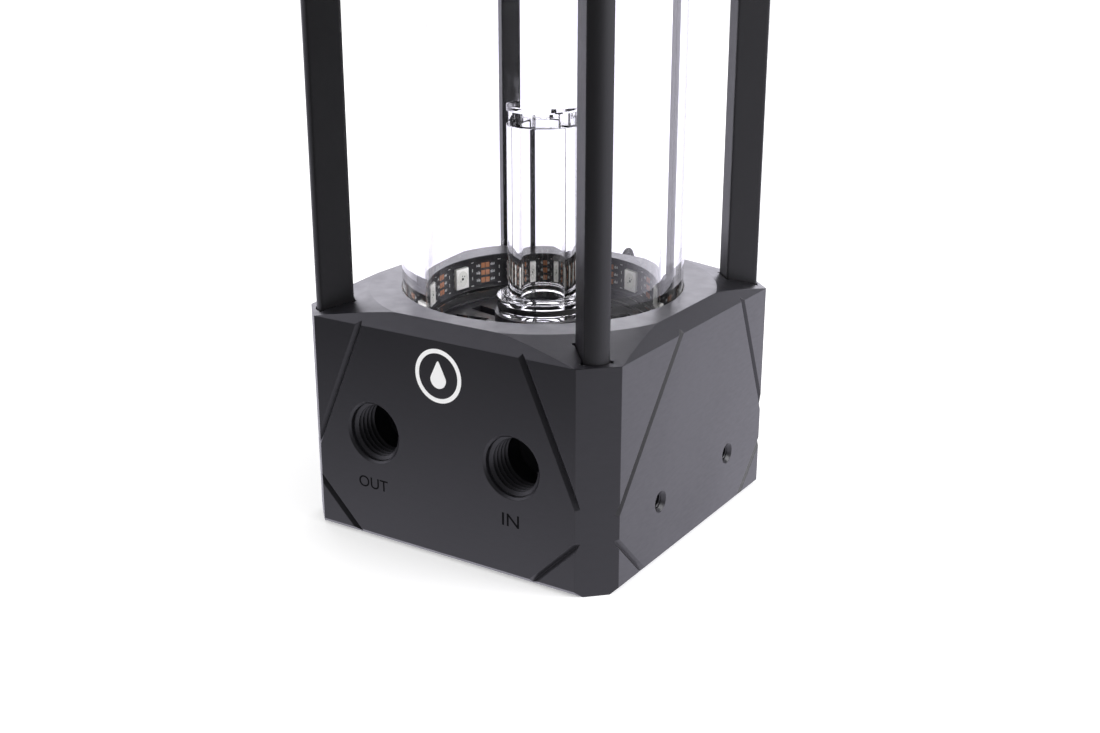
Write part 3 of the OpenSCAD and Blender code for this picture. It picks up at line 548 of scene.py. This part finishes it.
# %% Helper for inner threads
def thread_rib(bore, crest, pitch, length, steps_per_turn=40):
    """A helical rib along +Z from z = 0, from the bore's wall in to the crest."""
    bm = bmesh.new()
    turns = length / pitch
    steps = int(turns * steps_per_turn)
    root, half, tip = bore + 0.02, pitch * 0.46, pitch * 0.07
    wedge = [(root, -half), (root, half), (crest, tip), (crest, -tip)]
    face = bm.faces.new([bm.verts.new((r * MM, 0, z * MM)) for r, z in wedge])
    bmesh.ops.spin(bm, geom=[face] + face.edges[:] + face.verts[:], cent=(0, 0, 0),
                   axis=(0, 0, 1), dvec=(0, 0, length / steps * MM),
                   angle=2 * math.pi * turns, steps=steps, use_merge=False,
                   use_duplicate=False)
    bmesh.ops.remove_doubles(bm, verts=bm.verts, dist=1e-7)
    bmesh.ops.recalc_face_normals(bm, faces=bm.faces)
    return bm


def place_thread(name, bm, axis, mouth):
    """Turns a rib from +Z into the block, about that axis, and sets it at its hole's mouth."""
    bmesh.ops.rotate(bm, cent=(0, 0, 0), matrix=Matrix.Rotation(math.radians(-90), 3, axis),
                     verts=bm.verts)
    bmesh.ops.translate(bm, vec=Vector(mouth) * MM, verts=bm.verts)
    make_piece(name, bm, ACETAL, sharp=30)


# %% Threads of the two ports
FACE_Y = -40.0
PORT_X, PORT_Z = 18, 25.3
PORT_R, PORT_CREST, PORT_PITCH, PORT_RUN = 6.58, 5.72, 1.337, 6.4
for name, x in (("port_thread_out", -PORT_X), ("port_thread_in", PORT_X)):
    bm = thread_rib(PORT_R, PORT_CREST, PORT_PITCH, PORT_RUN)
    place_thread(name, bm, "X", (x, FACE_Y + 1.4, PORT_Z))

# %% Threads of the two mounting holes
HOLE_R, HOLE_CREST, HOLE_PITCH, HOLE_RUN = 1.65, 1.42, 0.7, 7.5
for name, y in (("side_thread_front", -16), ("side_thread_rear", 16)):
    bm = thread_rib(HOLE_R, HOLE_CREST, HOLE_PITCH, HOLE_RUN, steps_per_turn=24)
    place_thread(name, bm, "Y", (39.0, y, 14.1))


# %% [markdown]
# ## Lettering and a plain badge
#
# The ports are marked OUT and IN in engraved letters. Their dark is painted shade: thin
# near-black letters stand a little proud of the face where the shade in the grooves would be. A
# text object is turned into a mesh before it is placed, and its size is set by the place it has
# to fill. Above them is a generic round badge with a drop of coolant.


# %% Helpers for what lies on the port face
def onto_the_face(bm, x, z, proud):
    """Stands a flat piece up against the port face, that far in front of it."""
    bmesh.ops.rotate(bm, cent=(0, 0, 0), matrix=Matrix.Rotation(math.radians(90), 3, "X"),
                     verts=bm.verts)
    bmesh.ops.translate(bm, vec=(x * MM, (FACE_Y - proud) * MM, z * MM), verts=bm.verts)


def lettering(name, words, x_from, x_to, z_from, z_to):
    curve = bpy.data.curves.new(name, "FONT")
    curve.body = words
    curve.extrude = 0.01
    curve.resolution_u = 6
    holder = bpy.data.objects.new(name, curve)
    bpy.context.scene.collection.objects.link(holder)
    bpy.context.view_layer.update()
    solid = holder.evaluated_get(bpy.context.evaluated_depsgraph_get())
    mesh = bpy.data.meshes.new_from_object(solid)
    bpy.data.objects.remove(holder)
    bm = bmesh.new()
    bm.from_mesh(mesh)
    low = [min(v.co[i] for v in bm.verts) for i in range(3)]
    high = [max(v.co[i] for v in bm.verts) for i in range(3)]
    bmesh.ops.translate(bm, vec=(-low[0], -low[1], 0), verts=bm.verts)
    bmesh.ops.scale(bm, verts=bm.verts, vec=(
        (x_to - x_from) / (high[0] - low[0]) * MM, (z_to - z_from) / (high[1] - low[1]) * MM,
        LETTER_DEPTH / (high[2] - low[2]) * MM))
    onto_the_face(bm, x_from, z_from, LETTER_PROUD)
    # The letters carry the near-black painted shade of the engraved grooves
    make_piece(name, bm, ENGRAVING_SHADE)


LETTER_DEPTH, LETTER_PROUD = 0.03, 0.012
lettering("word_out", "OUT", -22.6, -14.6, 12.0, 14.6)
lettering("word_in", "IN", 15.7, 19.9, 12.1, 14.9)

# %% The round badge with a drop
BADGE_X, BADGE_Z, BADGE_R, BADGE_LINE = 0.0, 41.8, 5.9, 0.95
BADGE_SUNK, BADGE_PROUD = 0.02, 0.06
bm = turned([(BADGE_R - BADGE_LINE, -BADGE_SUNK), (BADGE_R, -BADGE_SUNK),
             (BADGE_R, BADGE_PROUD), (BADGE_R - BADGE_LINE, BADGE_PROUD)], steps=96)
onto_the_face(bm, BADGE_X, BADGE_Z, 0)
make_piece("badge_ring", bm, PRINT)

# A round disc whose upper half is drawn in and pulled up into the drop's tip
DROP_R, DROP_SHIFT, DROP_WAIST = 2.0, -0.75, 0.55
bm = bmesh.new()
bmesh.ops.create_circle(bm, cap_ends=True, segments=64, radius=DROP_R)
for v in bm.verts:
    rise = max(v.co.y, 0) / DROP_R
    v.co.x *= 1 - DROP_WAIST * rise ** 1.6
    v.co.y += DROP_R * rise ** 2.2
bmesh.ops.translate(bm, vec=(0, DROP_SHIFT, 0), verts=bm.verts)
front = bmesh.ops.extrude_face_region(bm, geom=bm.faces[:])["geom"]
bmesh.ops.translate(bm, vec=(0, 0, BADGE_SUNK + BADGE_PROUD),
                    verts=[g for g in front if isinstance(g, bmesh.types.BMVert)])
bmesh.ops.scale(bm, vec=(MM, MM, MM), verts=bm.verts)
bmesh.ops.recalc_face_normals(bm, faces=bm.faces)
onto_the_face(bm, BADGE_X, BADGE_Z, -BADGE_SUNK)
make_piece("badge_drop", bm, PRINT)

# %% [markdown]
# ## The LED strip
#
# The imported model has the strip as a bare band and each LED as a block. Here an LED is
# modelled once, facing the tube: a housing with rounded edges, a shallow round cup of
# clear resin and a dark die. Copies are turned to their places. Between the LEDs the
# strip shows copper solder pads in three rows, and rows of fine white print.

# %% Places on the strip
LED_COUNT, LED_PITCH, LED_SIDE = 11, 18.75, 4.96
LED_FACE_R, STRIP_IN_R, STRIP_OUT_R = 32.0, 33.7, 34.1
LED_Z = sum(c[2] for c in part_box("led_chips")) / 2 / MM
LED_STEP = LED_PITCH / STRIP_OUT_R
LED_FIRST = math.radians(-84.4)


def round_the_tube(bm, verts, angle):
    """Turns new pieces to their place on the strip, and from millimetres to metres."""
    bmesh.ops.rotate(bm, cent=(0, 0, 0), matrix=Matrix.Rotation(angle, 3, "Z"), verts=verts)
    bmesh.ops.scale(bm, vec=(MM, MM, MM), verts=verts)


def disc(bm, radius, thick, at, sides=32):
    """A disc that faces the tube's axis."""
    new = bmesh.ops.create_cone(bm, cap_ends=True, segments=sides, radius1=radius,
                                radius2=radius, depth=thick)["verts"]
    bmesh.ops.rotate(bm, cent=(0, 0, 0), matrix=Matrix.Rotation(math.radians(90), 3, "Y"),
                     verts=new)
    bmesh.ops.translate(bm, vec=at, verts=new)
    return new


# %% Housings, resin, dies and solder
# Each die: its shift along the strip and up, its width and its height
DIES = [(0, 0, 0.75, 0.55), (-0.75, 0.55, 0.28, 0.28), (0.1, 0.75, 0.3, 0.25),
        (0.8, -0.5, 0.25, 0.25)]
housings, resins, dies, solders = bmesh.new(), bmesh.new(), bmesh.new(), bmesh.new()
for k in range(LED_COUNT):
    angle = LED_FIRST + k * LED_STEP
    housing = add_box(housings, (1.5, LED_SIDE, LED_SIDE), (LED_FACE_R + 0.82, 0, LED_Z),
                      bevel=0.14)
    round_the_tube(housings, housing, angle)
    cup = disc(resins, 1.95, 0.06, (LED_FACE_R + 0.05, 0, LED_Z))
    round_the_tube(resins, cup, angle)
    for dy, dz, wide, high in DIES:
        die = add_box(dies, (0.05, wide, high), (LED_FACE_R, dy, LED_Z + dz))
        round_the_tube(dies, die, angle)
    for side in (-1, 1):
        for dz in (-1.6, 0, 1.6):
            dot = add_box(solders, (0.5, 0.55, 0.8),
                          (STRIP_IN_R - 0.2, side * 2.6, LED_Z + dz), bevel=0.08)
            round_the_tube(solders, dot, angle)
led_housings = make_piece("led_housings", housings, LED_WHITE)
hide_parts("led_chips")
make_piece("led_resin", resins, LED_RESIN)
make_piece("led_dies", dies, LED_DIE)
make_piece("led_solder", solders, SOLDER)

# %% Copper pads and print
def add_pad(middle, along, dz, side=1.25):
    """A copper pad that far along the strip from the middle between two LEDs."""
    pad = add_box(pads, (0.06, side, side), (STRIP_IN_R - 0.02, 0, LED_Z + dz), bevel=0.02)
    round_the_tube(pads, pad, middle + along / STRIP_IN_R)


def add_mark(middle, along, dz, wide, high):
    """A stroke of print that far along the strip from the middle between two LEDs."""
    mark = add_box(marks, (0.03, wide, high), (STRIP_IN_R - 0.01, 0, LED_Z + dz))
    round_the_tube(marks, mark, middle + along / STRIP_IN_R)


PAD_ROWS = (-1.85, 0, 1.85)
STROKE = 0.14
# The strokes beside each pad: their height and their shift up
PAD_STROKES = [(0.55, 0), (0.7, 0.1), (0.35, 0), (0.6, 0.1)]
# The strokes beside each LED: their shift up, width and height
LED_STROKES = [(2.9, 0.9, STROKE), (-2.9, 0.9, STROKE), (1.0, STROKE, 0.8),
               (-1.0, STROKE, 0.8)]
pads, marks = bmesh.new(), bmesh.new()
for k in range(-1, LED_COUNT):
    middle = LED_FIRST + (k + 0.5) * LED_STEP
    # The strip is cut in the middle between two LEDs, so its ends have one side only
    for side in {-1: (1,), LED_COUNT - 1: (-1,)}.get(k, (-1, 1)):
        for dz in PAD_ROWS:
            add_pad(middle, side * 0.72, dz)
            for n, (high, lift) in enumerate(PAD_STROKES):
                add_mark(middle, side * (1.85 + 0.32 * n), dz + lift, STROKE, high)
        for dz, wide, high in LED_STROKES:
            add_mark(middle, side * 4.4, dz, wide, high)
make_piece("led_strip_pads", pads, COPPER_PAD)
make_piece("led_strip_print", marks, PRINT)

# %% [markdown]
# ## Floor, world and lamps
#
# The object stands in a white studio. The world and the floor are white to the camera and to
# rays that pass through the clear plastic, which costs no extra light on the object. What
# the surfaces mirror is another matter: a white room all round would turn the black plastic
# grey. So the mirrored light falls off smoothly from the lit sides of the studio to the dark
# ones, as it does with black flags beside the lens. The smooth clear plastic mirrors the
# floor with a fall of its own, because it would otherwise veil what stands behind it. Two
# soft boxes, one behind at the left and one at the right, add the long soft
# reflections.

# %% Helpers for what each kind of ray sees
WHITE = (1, 1, 1, 1)
MIRROR_TINT = (0.985, 0.96, 1.1, 1)
THROUGH_LEVEL = 0.95


def math_node(nodes, links, operation, first, second):
    """The result of a Math node, whose inputs are sockets or plain numbers."""
    node = nodes.new("ShaderNodeMath")
    node.operation = operation
    for value, socket in zip((first, second), node.inputs):
        if isinstance(value, bpy.types.NodeSocket):
            links.new(value, socket)
        else:
            socket.default_value = value
    return node.outputs["Value"]


def seen_plainly(nodes, links, rays):
    """1 for rays from the lens or through the clear plastic, and 0 for all others."""
    return math_node(nodes, links, "MAXIMUM", rays.outputs["Is Camera Ray"],
                     rays.outputs["Is Transmission Ray"])


def falling(nodes, links, where, towards, span, levels):
    """A level that rises along a direction of the studio, from the dark side to the lit one."""
    place = nodes.new("ShaderNodeTexCoord")
    along = nodes.new("ShaderNodeVectorMath")
    along.operation = "DOT_PRODUCT"
    along.inputs[1].default_value = towards
    links.new(place.outputs[where], along.inputs[0])
    level = nodes.new("ShaderNodeMapRange")
    level.interpolation_type = "SMOOTHSTEP"
    level.inputs["From Min"].default_value, level.inputs["From Max"].default_value = span
    level.inputs["To Min"].default_value, level.inputs["To Max"].default_value = levels
    links.new(along.outputs["Value"], level.inputs["Value"])
    return level.outputs["Result"]


def pale_straight_through(nodes, links, rays, level):
    """The level, or nearly white for rays that pass the clear plastic unreflected."""
    straight = math_node(nodes, links, "LESS_THAN", rays.outputs["Glossy Depth"], 0.5)
    pale = math_node(nodes, links, "MULTIPLY", straight, THROUGH_LEVEL)
    return math_node(nodes, links, "MAXIMUM", level, pale)


# %% Floor
PAPER_LIFT = 0.36
bm = bmesh.new()
bmesh.ops.create_grid(bm, x_segments=1, y_segments=1, size=8)
mesh = bpy.data.meshes.new("studio_floor")
bm.to_mesh(mesh)
bm.free()
floor = bpy.data.objects.new("studio_floor", mesh)
bpy.context.scene.collection.objects.link(floor)
paper = bpy.data.materials.new("white_paper")
paper.use_nodes = True
nodes, links = paper.node_tree.nodes, paper.node_tree.links
nodes.remove(nodes["Principled BSDF"])
sheet = nodes.new("ShaderNodeBsdfDiffuse")
sheet.inputs["Color"].default_value = (0.9, 0.9, 0.9, 1)
glow = nodes.new("ShaderNodeEmission")
glow.inputs["Color"].default_value = WHITE
rays = nodes.new("ShaderNodeLightPath")
lift = math_node(nodes, links, "MULTIPLY", seen_plainly(nodes, links, rays), PAPER_LIFT)
links.new(lift, glow.inputs["Strength"])
total = nodes.new("ShaderNodeAddShader")
links.new(sheet.outputs["BSDF"], total.inputs[0])
links.new(glow.outputs["Emission"], total.inputs[1])
mirrored = nodes.new("ShaderNodeEmission")
mirrored.inputs["Color"].default_value = MIRROR_TINT
by_finish = nodes.new("ShaderNodeMix")
links.new(rays.outputs["Is Singular Ray"], by_finish.inputs["Factor"])
links.new(falling(nodes, links, "Object", (0.3, 0.95, 0), (-0.26, 0.06), (0.1, 1.5)),
          by_finish.inputs["A"])
links.new(falling(nodes, links, "Object", (-0.25, 0.95, 0), (-0.17, 0.12), (0.03, 1.5)),
          by_finish.inputs["B"])
links.new(pale_straight_through(nodes, links, rays, by_finish.outputs["Result"]),
          mirrored.inputs["Strength"])
choice = nodes.new("ShaderNodeMixShader")
links.new(rays.outputs["Is Glossy Ray"], choice.inputs["Fac"])
links.new(total.outputs["Shader"], choice.inputs[1])
links.new(mirrored.outputs["Emission"], choice.inputs[2])
links.new(choice.outputs["Shader"], nodes["Material Output"].inputs["Surface"])
mesh.materials.append(paper)

# %% World
AMBIENT_LEVEL = 0.85
world = bpy.data.worlds.new("studio_world")
bpy.context.scene.world = world
world.use_nodes = True
world.cycles.sampling_method = "NONE"
nodes, links = world.node_tree.nodes, world.node_tree.links
sky = nodes["Background"]
rays = nodes.new("ShaderNodeLightPath")
plain = nodes.new("ShaderNodeMapRange")
plain.inputs["To Min"].default_value = AMBIENT_LEVEL
plain.inputs["To Max"].default_value = 1.0
links.new(seen_plainly(nodes, links, rays), plain.inputs["Value"])
mirror = nodes.new("ShaderNodeMix")
links.new(rays.outputs["Is Glossy Ray"], mirror.inputs["Factor"])
links.new(plain.outputs["Result"], mirror.inputs["A"])
mirrored = falling(nodes, links, "Generated", (-0.8, 0.5, 0.45), (0.24, 0.6), (0.1, 1.55))
links.new(pale_straight_through(nodes, links, rays, mirrored), mirror.inputs["B"])
links.new(mirror.outputs["Result"], sky.inputs["Strength"])
tinge = nodes.new("ShaderNodeMix")
tinge.data_type = "RGBA"
tinge.inputs["A"].default_value = WHITE
tinge.inputs["B"].default_value = MIRROR_TINT
links.new(rays.outputs["Is Glossy Ray"], tinge.inputs["Factor"])
links.new(tinge.outputs["Result"], sky.inputs["Color"])


# %% Soft boxes
LAMP_TINT = (0.97, 0.96, 1.0)
LAMPS_AIM = Vector((0, 0, 0.05))


def soft_box(name, at, width, height, radiance):
    """A rectangular lamp that faces the block; its power follows from its size."""
    lamp = bpy.data.lights.new(name, "AREA")
    lamp.shape = "RECTANGLE"
    lamp.size, lamp.size_y = width, height
    lamp.energy = radiance * math.pi * width * height
    lamp.color = LAMP_TINT
    box = bpy.data.objects.new(name, lamp)
    box.rotation_euler = (LAMPS_AIM - Vector(at)).to_track_quat("-Z", "Y").to_euler()
    box.location = at
    bpy.context.scene.collection.objects.link(box)


soft_box("soft_box_rear", (-0.5, 0.85, 0.45), 1.3, 0.5, 1.3)
soft_box("soft_box_right", (0.9, 0.3, 0.52), 0.85, 0.55, 7.0)
bpy.context.scene.view_settings.view_transform = "Standard"
